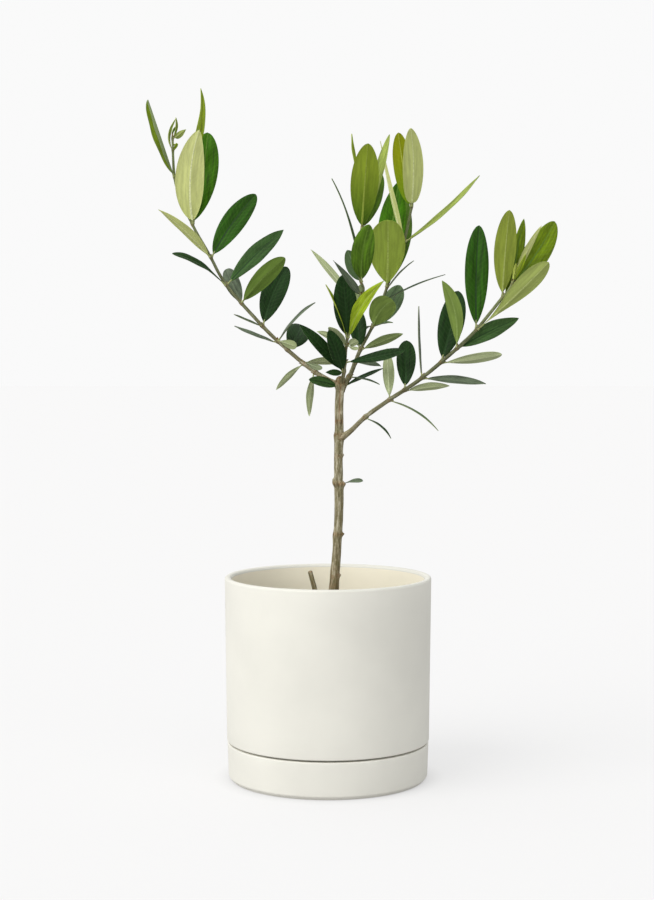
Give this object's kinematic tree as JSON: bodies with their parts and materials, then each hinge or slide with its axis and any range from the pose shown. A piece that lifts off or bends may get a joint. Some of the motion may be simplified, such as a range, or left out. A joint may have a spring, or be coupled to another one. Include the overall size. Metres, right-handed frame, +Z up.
{
  "type": "potted olive tree",
  "caption": "Young olive tree with one slim trunk, a few wide-set boughs and sparse narrow leaves, in a round cylindrical pot with a matching saucer.",
  "frame": {"origin": "centre of the saucer's flat underside, on the ground", "axes": "+Z up, -Y towards the front, +X to the right seen from the front"},
  "size_m": [0.2737, 0.1531, 0.4722],
  "materials": {
    "ceramic": "matte, fine-grained, warm off-white",
    "soil": "loose dark potting compost",
    "bark": "smooth grey-tan young bark with raised nodes",
    "leaf": "leathery, satin upper face, pale matte underside"
  },
  "bodies": {
    "root": {"saucer": "ceramic", "pot": "ceramic", "soil": "soil", "trunk": "bark", "cut_stub": "bark", "left_bough": "bark", "right_bough": "bark", "centre_bough": "bark", "middle_shoot": "bark", "trunk_leaves_1": "leaf", "trunk_leaves_2": "leaf", "left_bough_leaves_1": "leaf", "left_bough_leaves_2": "leaf", "left_bough_leaves_3": "leaf", "left_bough_leaves_4": "leaf", "left_bough_leaves_5": "leaf", "left_bough_leaves_6": "leaf", "left_bough_leaves_7": "leaf", "left_bough_leaves_8": "leaf", "left_bough_leaves_9": "leaf", "left_bough_leaves_10": "leaf", "left_bough_leaves_11": "leaf", "left_bough_leaves_12": "leaf", "right_bough_leaves_1": "leaf", "right_bough_leaves_2": "leaf", "right_bough_leaves_3": "leaf", "right_bough_leaves_4": "leaf", "right_bough_leaves_5": "leaf", "right_bough_leaves_6": "leaf", "right_bough_leaves_7": "leaf", "right_bough_leaves_8": "leaf", "right_bough_leaves_9": "leaf", "centre_bough_leaves_1": "leaf", "centre_bough_leaves_2": "leaf", "centre_bough_leaves_3": "leaf", "centre_bough_leaves_4": "leaf", "centre_bough_leaves_5": "leaf", "centre_bough_leaves_6": "leaf", "centre_bough_leaves_7": "leaf", "centre_bough_leaves_8": "leaf", "middle_shoot_leaves_1": "leaf", "middle_shoot_leaves_2": "leaf", "middle_shoot_leaves_3": "leaf", "middle_shoot_leaves_4": "leaf", "middle_shoot_leaves_5": "leaf", "middle_shoot_leaves_6": "leaf", "middle_shoot_leaves_7": "leaf", "middle_shoot_leaves_8": "leaf", "middle_shoot_leaves_9": "leaf"}
  },
  "joints": []
}
